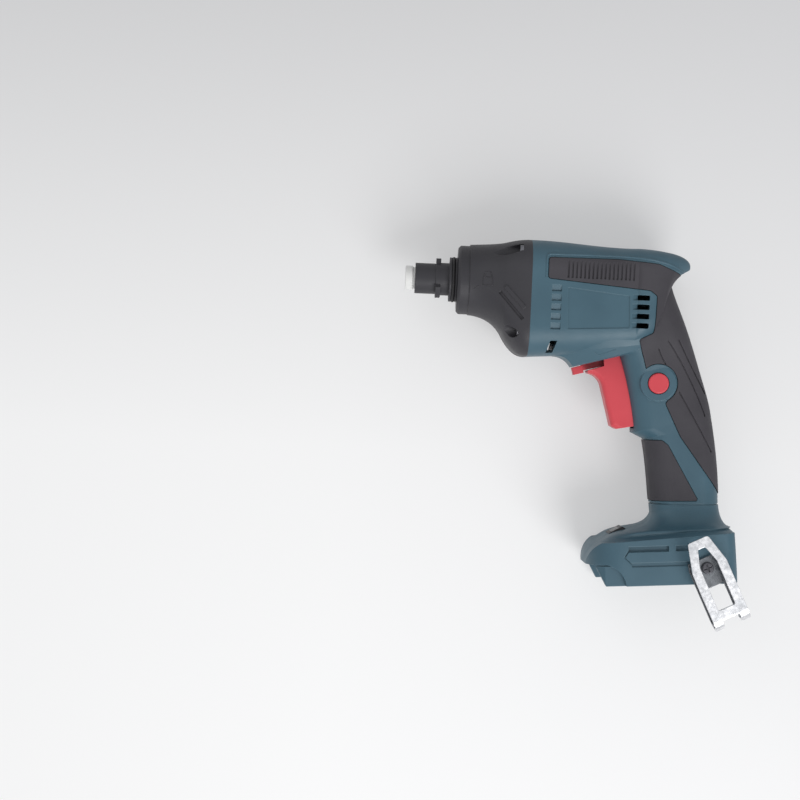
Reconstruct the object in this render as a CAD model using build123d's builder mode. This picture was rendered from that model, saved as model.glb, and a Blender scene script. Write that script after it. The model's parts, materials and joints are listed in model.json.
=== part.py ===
from math import acos, atan2, cos, pi, radians, sin, sqrt, tan

from build123d import *

# A cordless drywall screw gun without its battery, lying on its right side.
# X runs back along the spindle, Y up the tool, Z out of its left side, in millimetres.
# The origin is on the spindle axis, at the front face of the nose collar.

# Fits between pieces
running_gap = 0.05
seat_gap = 0.02
moving_gap = 0.4
rib_gap = 0.15

# Nose, where a depth stop or a feed attachment locks on
nose_r = 10.5
nose_length = 23.5
nose_root_r = 11.2
nose_root_length = 9.3
lug_length = 3.3
lug_reach = 3.7
lug_width = 8.5
flange_r = 15.2
flange_length = 5.6
ring_wire = 2.6
ring_bite = 2.2
spigot_r = 9.0

# Gear housing and the seam to the clamshell
front_r = 23.6
front_band = 8.0
face_wall = 4.0
seam_x = 78.5

# Clamshell barrel at the seam
barrel_top = 28.6
barrel_bottom = -50.8
barrel_half = 32.0
barrel_corner = 20.0
wall = 3.2

# Handle frame: u runs the way the trigger is pulled, v up the handle
handle_lean = 15.5
trigger_x = 147.75
trigger_y = -72.1
grip_back = 52.2
grip_half = 18.6
grip_corner = 14.0

# Foot frame: p runs to the back of the foot, q up
foot_lean = 4.3
foot_x = 190.0
foot_y = -148.0
neck_front = -20.6
neck_back = 24.8
neck_half = 19.2
foot_front = -68.5
foot_back = 32.0
foot_half = 38.0
foot_crease = -19.2
crease_lean = 2.9
crease_front = -58.5
crease_nose_r = 18.0
rim_rise = 2.4
rim_front = -54.0
rim_back = 29.0
rim_half = 32.8
rim_corner = 12.0
foot_bottom = -51.2
foot_corner = 9.0
foot_nose_r = 24.0
bay_roof = -37.2
bay_half = 31.0
bay_back = 22.0
rail_depth = 3.4
rail_height = 4.6
foot_slot_depth = 2.4
slot_height = 3.8
slot_q = -26.7
band_low = -37.1

# Rubber overmould
rubber_depth = 1.6
rubber_proud = 0.5
rubber_gap = 0.4
groove_width = 0.9
groove_depth = 1.0
rib_count = 17
rib_pitch = 2.75
rib_groove = 1.2
rib_length = 11.6
strip_middle = 8.4

# Marks moulded into the clamshell
mark_depth = 0.7
louvre_count = 5
louvre_x = 92.2
louvre_pitch = 6.4
louvre_width = 6.6
louvre_height = 4.4
louvre_depth = 1.5
vent_count = 4
vent_x = 150.1
vent_y = -8.7
vent_pitch = 6.25
vent_length = 8.0
vent_height = 3.6
vent_ramp = 3.5
vent_floor = 2.4
neck_groove_width = 0.9
neck_groove_q = 1.3
neck_groove_lean = 2.2

# Reduction gears
gear_module = 0.8
pinion_teeth = 9
gear_teeth = 32
gear_angle = 25.0
gear_backlash = 0.2
gear_width = 8.0
pinion_width = 11.0
gear_front = 57.0

# Spindle and dog clutch
spindle_r = 5.5
spindle_tail_r = 3.4
hex_across = 6.4
hex_depth = 22.0
stub_length = 6.0
clutch_front = 39.0
clutch_length = 6.0
dog_count = 3
dog_r = 10.4
dog_inner_r = 7.6
dog_length = 3.5
dog_width = 5.0
dog_apart = 2.5
clutch_wire = 1.0
hub_r = 5.0

# White nose bush
bush_head_r = 8.3
bush_head = 5.3
bush_neck = 1.5
bush_body_r = 7.4
bush_body = 14.0

# Gear bracket and bearings
bracket_length = 10.0
bracket_half = 22.4
gear_bearing_r = 7.0
ball_bearing_r = 8.0
ball_bearing_length = 5.0
shaft_r = 2.5
pinion_bore_r = 1.7

# Motor
stator_r = 22.0
stator_bore_r = 13.0
stator_front = 87.0
stator_length = 30.0
stator_slots = 6
coil_overhang = 3.5
magnet_r = 12.5
rotor_r = 10.5
fan_r = 23.0
fan_front = 123.0
fan_length = 8.0
fan_blades = 11
rear_bearing_x = 134.0
rib_thick = 3.0

# Trigger, switch, reverse lever and lock button
trigger_half = 9.6
trigger_depth = 15.2
trigger_inner = 7.0
trigger_bevel = 3.6
trigger_low = -22.8
trigger_high = 25.9
plunger_r = 2.4
plunger_v = -4.0
switch_front = 16.0
switch_length = 20.0
switch_half = 8.5
switch_low = -22.0
switch_high = 20.0
lever_low = 20.8
lever_high = 25.2
lever_channel = 1.2
trigger_rim = 1.2
chin_low = 24.9
chin_opening = 2.1
lever_half = 1.8
lever_front = -32.0
lever_tab = 7.4
lever_pivot = 22.0
lever_pin_r = 1.6
lever_pin_seat = 5.0
button_u = 21.3
button_v = 1.0
button_r = 7.0
button_rim_r = 12.4
button_top = 22.8
button_rise = 1.3
button_floor = 16.2
button_flange = 1.6

# Fasteners
screw_r = 1.9
screw_head_r = 3.4
screw_head = 2.4
screw_length = 20.0
screw_seat = 8.0
boss_r = 4.8
axial_boss_r = 3.4
pocket_r = 4.1
pocket_floor = 6.0
axial_screw_length = 18.0

# Belt hook, standing on the left side of the foot
hook_p = 10.4
hook_q = -40.1
hook_lean = 21.8
hook_half = 12.3
hook_sheet = 2.0
hook_gap = 11.0
hook_top = 21.5
hook_base_top = 7.0
hook_low = -40.3
hook_leg = 6.2
hook_tip_half = 7.2
hook_window_top = -13.0
hook_bar_low = -34.0
hook_bar_high = -27.1
hook_screw_r = 2.0
hook_screw_head = 2.6
insert_r = 3.0
insert_length = 6.2

# Controller and battery terminals in the foot
board_p = -12.0
board_length = 46.0
board_width = 56.0
board_thick = 1.6
terminal_p = 6.0
terminal_length = 26.0
terminal_width = 30.0
terminal_height = 9.0
blade_thick = 0.8

# Work light at the front of the foot
light_front = -51.0
light_back = -38.8
light_half = 9.0
light_floor = -21.0
light_brow = -17.4
light_ridge = 3.0
light_top = -13.2
light_rear = -15.4
lens_width = 13.0
lens_height = 5.4
lens_middle = 5.0
lens_thick = 1.0
diode_thick = 1.4

# Values that follow from the sizes above
face_x = nose_length + flange_length
band_x = face_x + front_band
nose_root_x = nose_length - nose_root_length
gear_centre = gear_module * (pinion_teeth + gear_teeth) / 2
motor_y = -gear_centre
gear_back = gear_front + gear_width
bracket_front = seam_x - bracket_length
spindle_front = -bush_neck - bush_head + 1.0
spindle_back = bracket_front + 6.0
clutch_back = clutch_front + clutch_length
pinion_front = gear_front - 1.0
stator_back = stator_front + stator_length
screw_top_y = barrel_top - 8.2
screw_top_z = barrel_half - 8.5
screw_low_y = barrel_bottom + 16.0
screw_low_z = barrel_half - 6.0
pocket_x = seam_x - pocket_floor
axial_screws = [
    (screw_top_y, screw_top_z),
    (screw_top_y, -screw_top_z),
    (screw_low_y, screw_low_z),
    (screw_low_y, -screw_low_z),
]

handle_frame = Plane(
    origin=(trigger_x, trigger_y, 0),
    x_dir=(cos(radians(handle_lean)), sin(radians(handle_lean)), 0),
    z_dir=(0, 0, 1),
)
foot_frame = Plane(
    origin=(foot_x, foot_y, 0),
    x_dir=(cos(radians(foot_lean)), sin(radians(foot_lean)), 0),
    z_dir=(0, 0, 1),
)
hook_turn = radians(foot_lean + hook_lean)
hook_frame = Plane(
    origin=foot_frame.from_local_coords((hook_p, hook_q, foot_half)),
    x_dir=(cos(hook_turn), sin(hook_turn), 0),
    z_dir=(0, 0, 1),
)


def across(frame, height):
    # Plane square to a frame's long axis, at a height along it.
    origin = frame.from_local_coords((0, height, 0))
    return Plane(origin=origin, x_dir=frame.x_dir, z_dir=frame.y_dir)


def lofted(sections, grow=0.0):
    # Body through rounded rectangles, grown or shrunk all round.
    with BuildPart() as form:
        for plane, low, high, half, corner in sections:
            with BuildSketch(plane):
                with Locations(((low + high) / 2, 0)):
                    RectangleRounded(high - low + 2 * grow, 2 * (half + grow), corner + grow)
        loft()
    return form.part


def gear_outline(teeth, turn):
    # Outline points of a thinned involute gear about its own centre.
    pitch_r = gear_module * teeth / 2
    base_r = pitch_r * cos(radians(gear_angle))
    root_r = pitch_r - 1.05 * gear_module
    tip_r = pitch_r + 0.8 * gear_module
    start_r = max(base_r, root_r)
    slope = radians(gear_angle)
    half_pitch = (pi * gear_module - gear_backlash) / (4 * pitch_r) + tan(slope) - slope
    flank = []
    for step in range(4):
        radius = start_r + (tip_r - start_r) * step / 3
        slope = acos(min(1.0, base_r / radius))
        flank.append((radius, half_pitch - tan(slope) + slope))
    if root_r < start_r:
        flank.insert(0, (root_r, flank[0][1]))
    points = []
    for tooth in range(teeth):
        middle = turn + 2 * pi * tooth / teeth
        for radius, spread in flank:
            points.append((radius * cos(middle - spread), radius * sin(middle - spread)))
        for radius, spread in reversed(flank):
            points.append((radius * cos(middle + spread), radius * sin(middle + spread)))
    return points


def coil(plane, radius, wire, length, turns):
    # Round wire spring standing on a plane.
    lift = 0.6 * wire
    rise = length - 2 * lift
    with BuildPart() as spring:
        with BuildLine():
            path = Helix(rise / turns, rise, radius, center=(0, 0, lift))
        with BuildSketch(Plane(origin=path @ 0, z_dir=path % 0)):
            Circle(wire / 2)
        sweep(is_frenet=True)
    return spring.part.moved(plane.location)


# Sections of the outer form: plane, low edge, high edge, half width, corner radius
gear_shape = [
    (0.0, 24.4, -24.0, 24.6, 23.8),
    (10.5, 25.0, -26.1, 25.4, 23.0),
    (19.0, 25.6, -31.4, 27.0, 22.0),
    (24.0, 26.3, -38.0, 28.6, 21.0),
    (29.0, 27.4, -45.0, 30.0, 20.4),
    (34.0, 28.2, -49.2, 31.2, 20.0),
]
gear_sections = []
for back, top, bottom, half, corner in gear_shape:
    gear_sections.append((Plane.YZ.offset(band_x + back), bottom, top, half, corner))
seam_section = (Plane.YZ.offset(seam_x), barrel_bottom, barrel_top, barrel_half, barrel_corner)
gear_sections.append(seam_section)

barrel_shape = [
    (21.5, 0.7, 1.6, 0.0, 19.0),
    (46.5, 2.5, 3.8, 0.0, 18.0),
    (71.5, 3.3, 9.0, 0.2, 14.0),
    (86.5, 4.3, 22.0, 1.4, 11.0),
    (92.0, 4.9, 38.5, 3.6, 10.5),
    (97.0, 5.6, 53.3, 6.6, 9.6),
    (104.2, 8.0, 61.0, 13.0, 4.8),
    (108.8, 12.0, 63.8, 19.0, 1.6),
]
barrel_sections = [seam_section]
for back, drop, rise, narrow, corner in barrel_shape:
    plane = Plane.YZ.offset(seam_x + back)
    barrel_sections.append((plane, barrel_bottom + rise, barrel_top - drop, barrel_half - narrow, corner))
tail_end = len(barrel_sections)

handle_shape = [
    (64.0, -8.0, -7.1, 9.6),
    (46.0, -2.6, -5.2, 9.0),
    (28.0, 1.0, -2.6, 6.2),
    (10.0, 1.6, -0.8, 2.8),
    (-8.0, 0.6, 0.6, 0.9),
    (-28.0, -1.8, 0.9, 0.2),
    (-34.0, 5.3, 0.5, 0.0),
    (-56.0, 3.2, -1.7, 0.0),
    (-74.0, 0.6, -4.5, 0.2),
    (-92.0, -1.8, -8.4, 0.5),
]
handle_sections = []
for height, front, bulge, wider in handle_shape:
    plane = across(handle_frame, height)
    handle_sections.append((plane, front, grip_back + bulge, grip_half + wider, grip_corner))
handle_runs = [handle_sections[:6], handle_sections[5:7], handle_sections[6:]]
neck_section = (across(foot_frame, 0), neck_front, neck_back, neck_half, grip_corner)

crease_frame = Plane(
    origin=foot_frame.from_local_coords((0, foot_crease, 0)),
    x_dir=(cos(radians(foot_lean + crease_lean)), sin(radians(foot_lean + crease_lean)), 0),
    z_dir=(0, 0, 1),
)
flare_shape = [
    (-5.0, -0.3, 0.4, 0.9, 14.0),
    (-9.5, -3.0, 1.2, 3.6, 13.5),
    (-13.0, -9.0, 2.8, 8.0, 13.0),
]
flare_sections = [neck_section]
for height, front, back, wider, corner in flare_shape:
    plane = across(foot_frame, height)
    flare_sections.append((plane, neck_front + front, neck_back + back, neck_half + wider, corner))
flare_sections.append((across(crease_frame, rim_rise), rim_front, rim_back, rim_half, rim_corner))

throat_sections = []
for plane, low, high, half, corner in flare_sections:
    throat_sections.append((plane, max(low, neck_front - 4.0), high, half, corner))


def grip_form(grow, barrel_end):
    # Left half of the barrel, up to one of its sections, and of the handle.
    with BuildPart() as form:
        for run in (barrel_sections[:4], barrel_sections[3:barrel_end], *handle_runs):
            add(lofted(run, grow), clean=False)
        split(bisect_by=Plane.XY, keep=Keep.TOP)
    return form.part


def diagonal_bar(start, end, width, grow):
    # Slanted bar through the gear housing, kept outside its form or inside its grown form.
    with BuildPart() as bar:
        with BuildSketch():
            with BuildLine() as line:
                Line(start, end)
            trace(line.line, line_width=width)
        extrude(amount=2 * barrel_half, both=True)
        add(lofted(gear_sections[2:], grow), mode=Mode.SUBTRACT if grow < 0 else Mode.INTERSECT)
    return bar.part


# Nose collar with its bayonet lugs and flange, seated in the gear housing by a spigot
with BuildPart() as nose_collar:
    with BuildSketch(Plane.YZ):
        Circle(nose_r)
    extrude(amount=nose_length)
    with BuildSketch(Plane.YZ.offset(nose_root_x)):
        Circle(nose_root_r)
    extrude(amount=nose_root_length)
    for turn in (0, 135, 225):
        with BuildSketch(Plane.YZ.offset(nose_root_x)):
            Circle(nose_r + lug_reach)
            with BuildSketch(Plane.YZ.offset(nose_root_x), mode=Mode.INTERSECT):
                with PolarLocations(nose_r, 1, turn):
                    Rectangle(2 * lug_reach + nose_r, lug_width)
        extrude(amount=lug_length)
    with BuildSketch(Plane.YZ.offset(nose_length)):
        Circle(flange_r)
    extrude(amount=flange_length)
    with BuildSketch(Plane.YZ.offset(nose_length + (flange_length - ring_wire) / 2)):
        Circle(flange_r)
        Circle(flange_r - ring_bite, mode=Mode.SUBTRACT)
    extrude(amount=ring_wire, mode=Mode.SUBTRACT)
    with BuildSketch(Plane.YZ.offset(face_x)):
        Circle(spigot_r)
    extrude(amount=face_wall)
    with BuildSketch(Plane.YZ):
        Circle(bush_body_r + seat_gap)
    extrude(amount=bush_body, mode=Mode.SUBTRACT)
    with BuildSketch(Plane.YZ.offset(bush_body)):
        Circle(spindle_r + moving_gap)
    extrude(amount=face_x + face_wall - bush_body, mode=Mode.SUBTRACT)
nose_collar.part.label = "nose_collar"
export_step(nose_collar.part, "parts/nose_collar.step")

# Gear housing
with BuildPart() as gear_housing:
    with BuildSketch(Plane.YZ.offset(face_x)):
        Circle(front_r)
    extrude(amount=front_band)
    chamfer(gear_housing.edges().sort_by(Axis.X)[0], 1.6)
    add(lofted(gear_sections[:4]))
    add(lofted(gear_sections[3:]))
    add(diagonal_bar((61.0, -5.0), (74.4, -19.0), 2.6, 1.1))
    add(diagonal_bar((57.5, -8.6), (73.4, -26.6), 2.2, -1.8), mode=Mode.SUBTRACT)
    with BuildSketch(Plane.YZ.offset(face_x)):
        Circle(spigot_r + seat_gap)
    extrude(amount=face_wall, mode=Mode.SUBTRACT)
    with BuildSketch(Plane.YZ.offset(face_x + face_wall)):
        Circle(front_r - face_wall)
    extrude(amount=bracket_front - face_x - face_wall, mode=Mode.SUBTRACT)
    with BuildSketch(Plane.YZ.offset(pinion_front - 3)):
        with Locations((motor_y, 0)):
            Circle(ball_bearing_r + 2)
    extrude(amount=bracket_front - pinion_front + 3, mode=Mode.SUBTRACT)
    with BuildSketch(Plane.YZ.offset(bracket_front)):
        with Locations(((barrel_top + barrel_bottom) / 2, 0)):
            RectangleRounded(
                barrel_top - barrel_bottom - 4 * wall,
                2 * bracket_half,
                barrel_corner - wall,
            )
    extrude(amount=bracket_length, mode=Mode.SUBTRACT)
    with BuildSketch(Plane.YZ.offset(band_x)):
        with Locations(*axial_screws):
            Circle(pocket_r)
    extrude(amount=pocket_x - band_x, mode=Mode.SUBTRACT)
    with BuildSketch(Plane.YZ.offset(pocket_x)):
        with Locations(*axial_screws):
            Circle(screw_r + moving_gap)
    extrude(amount=pocket_floor, mode=Mode.SUBTRACT)
gear_housing.part.label = "gear_housing"
export_step(gear_housing.part, "parts/gear_housing.step")

# White bush that guides the spindle at the nose
with BuildPart() as nose_bush:
    with BuildSketch(Plane.YZ.offset(-bush_neck - bush_head)):
        Circle(bush_head_r)
    extrude(amount=bush_head)
    fillet(nose_bush.edges().filter_by(GeomType.CIRCLE), 0.8)
    with BuildSketch(Plane.YZ.offset(-bush_neck)):
        Circle(bush_body_r)
    extrude(amount=bush_neck + bush_body)
    with BuildSketch(Plane.YZ.offset(-bush_neck - bush_head)):
        Circle(spindle_r + running_gap)
    extrude(amount=bush_head + bush_neck + bush_body, mode=Mode.SUBTRACT)
nose_bush.part.label = "nose_bush"
export_step(nose_bush.part, "parts/nose_bush.step")

# Sealing ring in the flange groove
with BuildPart() as nose_seal_ring:
    with BuildSketch(Plane.XY):
        with Locations((nose_length + flange_length / 2, flange_r - ring_bite + ring_wire / 2)):
            Circle(ring_wire / 2 - seat_gap)
    revolve(axis=Axis.X)
nose_seal_ring.part.label = "nose_seal_ring"
export_step(nose_seal_ring.part, "parts/nose_seal_ring.step")

# Bit holder with its hex socket, pressed on the hex stub of the spindle
socket_end = spindle_front + hex_depth
holder_back = socket_end + stub_length
with BuildPart() as bit_holder:
    with BuildSketch(Plane.YZ.offset(spindle_front)):
        Circle(spindle_r)
    extrude(amount=holder_back - spindle_front)
    chamfer(bit_holder.edges().sort_by(Axis.X)[0], 0.6)
    with BuildSketch(Plane.YZ.offset(spindle_front)):
        RegularPolygon(hex_across / 2, 6, major_radius=False)
    extrude(amount=holder_back - spindle_front, mode=Mode.SUBTRACT)
bit_holder.part.label = "bit_holder"
export_step(bit_holder.part, "parts/bit_holder.step")

# Spindle with its clutch dogs
with BuildPart() as spindle:
    with BuildSketch(Plane.YZ.offset(socket_end)):
        RegularPolygon(hex_across / 2 - seat_gap, 6, major_radius=False)
    extrude(amount=stub_length)
    with BuildSketch(Plane.YZ.offset(holder_back)):
        Circle(spindle_r)
    extrude(amount=clutch_front - holder_back)
    with BuildSketch(Plane.YZ.offset(clutch_front)):
        Circle(dog_r)
    extrude(amount=clutch_length)
    with BuildSketch(Plane.YZ.offset(clutch_back)):
        with PolarLocations((dog_inner_r + dog_r) / 2, dog_count):
            Rectangle(dog_r - dog_inner_r, dog_width)
    extrude(amount=dog_length)
    with BuildSketch(Plane.YZ.offset(clutch_back)):
        Circle(spindle_tail_r)
    extrude(amount=spindle_back - clutch_back)
spindle.part.label = "spindle"
export_step(spindle.part, "parts/spindle.step")

# Spring that holds the clutch dogs apart
clutch_spring_r = (spindle_tail_r + dog_inner_r) / 2
clutch_spring = coil(Plane.YZ.offset(clutch_back), clutch_spring_r, clutch_wire, gear_front - clutch_back, 5)
clutch_spring.label = "clutch_spring"
export_step(clutch_spring, "parts/clutch_spring.step")

# Large gear with its clutch dogs, turning in the bracket
gear_dogs_front = clutch_back + dog_length + dog_apart
with BuildPart() as drive_gear:
    with BuildSketch(Plane.YZ.offset(gear_front)):
        with BuildLine():
            Polyline(*gear_outline(gear_teeth, pi / gear_teeth), close=True)
        make_face()
    extrude(amount=gear_width)
    with BuildSketch(Plane.YZ.offset(gear_dogs_front)):
        with PolarLocations((dog_inner_r + dog_r) / 2, dog_count, 180 / dog_count):
            Rectangle(dog_r - dog_inner_r, dog_width)
    extrude(amount=gear_front - gear_dogs_front)
    with BuildSketch(Plane.YZ.offset(gear_back)):
        Circle(hub_r)
    extrude(amount=seam_x - 1 - gear_back)
    with BuildSketch(Plane.YZ.offset(gear_front)):
        Circle(spindle_tail_r + running_gap)
    extrude(amount=seam_x - gear_front, mode=Mode.SUBTRACT)
drive_gear.part.label = "drive_gear"
export_step(drive_gear.part, "parts/drive_gear.step")

# Needle bush of the large gear
with BuildPart() as gear_bearing:
    with BuildSketch(Plane.YZ.offset(bracket_front)):
        Circle(gear_bearing_r)
        Circle(hub_r + running_gap, mode=Mode.SUBTRACT)
    extrude(amount=bracket_length - 1)
gear_bearing.part.label = "gear_bearing"
export_step(gear_bearing.part, "parts/gear_bearing.step")

# Aluminium bracket between the gears and the motor
with BuildPart() as gear_bracket:
    with BuildSketch(Plane.YZ.offset(bracket_front)):
        with Locations(((barrel_top + barrel_bottom) / 2, 0)):
            RectangleRounded(
                barrel_top - barrel_bottom - 4 * wall - 2 * seat_gap,
                2 * (bracket_half - seat_gap),
                barrel_corner - wall - seat_gap,
            )
        Circle(gear_bearing_r + seat_gap, mode=Mode.SUBTRACT)
        with Locations((motor_y, 0)):
            Circle(shaft_r + moving_gap, mode=Mode.SUBTRACT)
    extrude(amount=bracket_length)
    with BuildSketch(Plane.YZ.offset(seam_x - ball_bearing_length)):
        with Locations((motor_y, 0)):
            Circle(ball_bearing_r + seat_gap)
    extrude(amount=ball_bearing_length, mode=Mode.SUBTRACT)
gear_bracket.part.label = "gear_bracket"
export_step(gear_bracket.part, "parts/gear_bracket.step")


def ball_bearing(x):
    # Ball bearing on the motor shaft, shown as its rings and shield.
    with BuildPart() as bearing:
        with BuildSketch(Plane.YZ.offset(x)):
            with Locations((motor_y, 0)):
                Circle(ball_bearing_r)
                Circle(shaft_r + seat_gap, mode=Mode.SUBTRACT)
        extrude(amount=ball_bearing_length)
        chamfer(bearing.edges().filter_by(GeomType.CIRCLE).group_by(SortBy.RADIUS)[-1], 0.4)
    return bearing.part


front_motor_bearing = ball_bearing(seam_x - ball_bearing_length)
front_motor_bearing.label = "front_motor_bearing"
export_step(front_motor_bearing, "parts/front_motor_bearing.step")
rear_motor_bearing = ball_bearing(rear_bearing_x)
rear_motor_bearing.label = "rear_motor_bearing"
export_step(rear_motor_bearing, "parts/rear_motor_bearing.step")

# Motor shaft, stepped down for the pinion
with BuildPart() as motor_shaft:
    with BuildSketch(Plane.YZ.offset(seam_x - ball_bearing_length - 0.5)):
        with Locations((motor_y, 0)):
            Circle(shaft_r)
    extrude(amount=rear_bearing_x + 2 * ball_bearing_length - seam_x + 0.5)
    with BuildSketch(Plane.YZ.offset(pinion_front)):
        with Locations((motor_y, 0)):
            Circle(pinion_bore_r)
    extrude(amount=seam_x - ball_bearing_length - pinion_front)
motor_shaft.part.label = "motor_shaft"
export_step(motor_shaft.part, "parts/motor_shaft.step")

# Pinion pressed on the shaft
with BuildPart() as pinion:
    with BuildSketch(Plane(origin=(pinion_front, motor_y, 0), x_dir=(0, 1, 0), z_dir=(1, 0, 0))):
        with BuildLine():
            Polyline(*gear_outline(pinion_teeth, 0), close=True)
        make_face()
        Circle(pinion_bore_r + seat_gap, mode=Mode.SUBTRACT)
    extrude(amount=pinion_width)
pinion.part.label = "pinion"
export_step(pinion.part, "parts/pinion.step")

# Rotor core and its four magnets
with BuildPart() as rotor_core:
    with BuildSketch(Plane.YZ.offset(stator_front)):
        with Locations((motor_y, 0)):
            Circle(rotor_r)
            Circle(shaft_r + seat_gap, mode=Mode.SUBTRACT)
    extrude(amount=stator_length)
rotor_core.part.label = "rotor_core"
export_step(rotor_core.part, "parts/rotor_core.step")
with BuildPart() as rotor_magnets:
    with BuildSketch(Plane.YZ.offset(stator_front)):
        with Locations((motor_y, 0)):
            Circle(magnet_r)
            Circle(rotor_r + seat_gap, mode=Mode.SUBTRACT)
            Rectangle(3 * magnet_r, 1.4, rotation=45, mode=Mode.SUBTRACT)
            Rectangle(3 * magnet_r, 1.4, rotation=-45, mode=Mode.SUBTRACT)
    extrude(amount=stator_length)
rotor_magnets.part.label = "rotor_magnets"
export_step(rotor_magnets.part, "parts/rotor_magnets.step")

# Stator ring with its slots, and the windings that fill them
slot_depth = 0.62 * (stator_r - stator_bore_r)
slot_width = 0.6 * 2 * pi * stator_bore_r / stator_slots
slot_r = (stator_r + stator_bore_r) / 2 - 0.4
with BuildPart() as stator:
    with BuildSketch(Plane.YZ.offset(stator_front)):
        with Locations((motor_y, 0)):
            Circle(stator_r)
            Circle(stator_bore_r, mode=Mode.SUBTRACT)
            with PolarLocations(slot_r, stator_slots):
                Rectangle(slot_depth, slot_width, mode=Mode.SUBTRACT)
    extrude(amount=stator_length)
stator.part.label = "stator"
export_step(stator.part, "parts/stator.step")
with BuildPart() as stator_windings:
    with BuildSketch(Plane.YZ.offset(stator_front - coil_overhang)):
        with Locations((motor_y, 0)):
            with PolarLocations(slot_r, stator_slots):
                Rectangle(slot_depth - 2 * seat_gap, slot_width - 2 * seat_gap)
    extrude(amount=stator_length + 2 * coil_overhang)
    for x in (stator_front - coil_overhang, stator_back):
        with BuildSketch(Plane.YZ.offset(x)):
            with Locations((motor_y, 0)):
                Circle(slot_r + slot_depth / 2)
                Circle(slot_r - slot_depth / 2, mode=Mode.SUBTRACT)
        extrude(amount=coil_overhang)
stator_windings.part.label = "stator_windings"
export_step(stator_windings.part, "parts/stator_windings.step")

# Cooling fan on the back of the shaft
fan_hub_r = 6.0
with BuildPart() as fan:
    with BuildSketch(Plane.YZ.offset(fan_front)):
        with Locations((motor_y, 0)):
            Circle(fan_hub_r)
    extrude(amount=fan_length)
    with BuildSketch(Plane.YZ.offset(fan_front)):
        with Locations((motor_y, 0)):
            Circle(fan_r)
    extrude(amount=1.4)
    with BuildSketch(Plane.YZ.offset(fan_front)):
        with Locations((motor_y, 0)):
            with PolarLocations((fan_r + fan_hub_r) / 2, fan_blades):
                Rectangle(fan_r - fan_hub_r - 1, 1.2, rotation=20)
    extrude(amount=fan_length)
    with BuildSketch(Plane.YZ.offset(fan_front)):
        with Locations((motor_y, 0)):
            Circle(shaft_r + seat_gap)
    extrude(amount=fan_length, mode=Mode.SUBTRACT)
fan.part.label = "fan"
export_step(fan.part, "parts/fan.step")

# Outline of the rubber on the barrel side and the back of the handle, seen from the left
strip_front = seam_x + 10.6
rear_grip_outline = [
    (strip_front, 1.6),
    (strip_front, 16.2),
    (137.0, 16.8),
    (164.0, 14.6),
    (182.0, 8.4),
    (230.0, 4.0),
    (230.0, -140.2),
    (214.8, -139.7),
    (201.2, -122.8),
    (184.6, -101.0),
    (173.4, -79.0),
    (181.0, -66.0),
    (159.6, -58.0),
    (152.6, -36.4),
    (162.4, -31.5),
    (162.9, -7.0),
    (158.0, -3.8),
]
front_grip_outline = [
    (150.0, -104.3),
    (172.8, -103.7),
    (177.0, -106.8),
    (199.4, -144.2),
    (150.0, -146.6),
]
rear_grip_corner = 2.2
front_grip_corner = 1.5
button_place = handle_frame.from_local_coords((button_u, button_v, 0))


def grip_zone(outline, corner, inset):
    # Prism over a rubber outline on the left, clear of the button rim and drawn in by an inset.
    with BuildPart() as zone:
        with BuildSketch():
            with BuildLine():
                FilletPolyline(*outline, radius=corner, close=True)
            make_face()
            with Locations((button_place.X, button_place.Y)):
                Circle(button_rim_r + 0.6, mode=Mode.SUBTRACT)
            if inset > 0:
                offset(amount=-inset)
        extrude(amount=2 * barrel_half)
    return zone.part


outer_form = grip_form(0, tail_end)
rubber_form = grip_form(rubber_proud, tail_end)
rubber_floor = grip_form(-rubber_depth, tail_end - 1)

# Curved grooves down the back of the handle
groove_lines = [
    [(166.5, -42.2), (169.1, -47.6), (172.2, -52.4)],
    [(172.6, -36.5), (187.7, -59.2), (201.4, -86.7)],
    [(179.8, -35.3), (195.0, -61.2), (201.2, -71.0)],
    [(182.4, -70.6), (189.3, -81.7), (207.0, -110.6)],
]
with BuildPart() as handle_grooves:
    for points in groove_lines:
        with BuildSketch():
            with BuildLine() as line:
                Spline(*points)
            trace(line.line, line_width=groove_width)
        extrude(amount=2 * barrel_half)
    for run in handle_runs:
        add(lofted(run, rubber_proud - groove_depth), mode=Mode.SUBTRACT)

# Upright ribs along the strip on the barrel
with BuildPart() as strip_grooves:
    with BuildSketch(Plane.XY.offset(barrel_half + rubber_proud - groove_depth)):
        for rib in range(rib_count):
            with Locations((strip_front + 13.6 + rib * rib_pitch, strip_middle)):
                Rectangle(rib_groove, rib_length)
    extrude(amount=barrel_half)

with BuildPart() as rear_grip_left:
    add(rubber_form)
    add(grip_zone(rear_grip_outline, rear_grip_corner, rubber_gap), mode=Mode.INTERSECT)
    add(rubber_floor, mode=Mode.SUBTRACT)
    add(handle_grooves.part, mode=Mode.SUBTRACT)
    add(strip_grooves.part, mode=Mode.SUBTRACT)
rear_grip_left.part.label = "rear_grip_left"
export_step(rear_grip_left.part, "parts/rear_grip_left.step")
with BuildPart() as rear_grip_right:
    mirror(rear_grip_left.part, about=Plane.XY)
rear_grip_right.part.label = "rear_grip_right"
export_step(rear_grip_right.part, "parts/rear_grip_right.step")

with BuildPart() as front_grip_left:
    add(rubber_form)
    add(grip_zone(front_grip_outline, front_grip_corner, rubber_gap), mode=Mode.INTERSECT)
    add(rubber_floor, mode=Mode.SUBTRACT)
front_grip_left.part.label = "front_grip_left"
export_step(front_grip_left.part, "parts/front_grip_left.step")
with BuildPart() as front_grip_right:
    mirror(front_grip_left.part, about=Plane.XY)
front_grip_right.part.label = "front_grip_right"
export_step(front_grip_right.part, "parts/front_grip_right.step")


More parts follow.
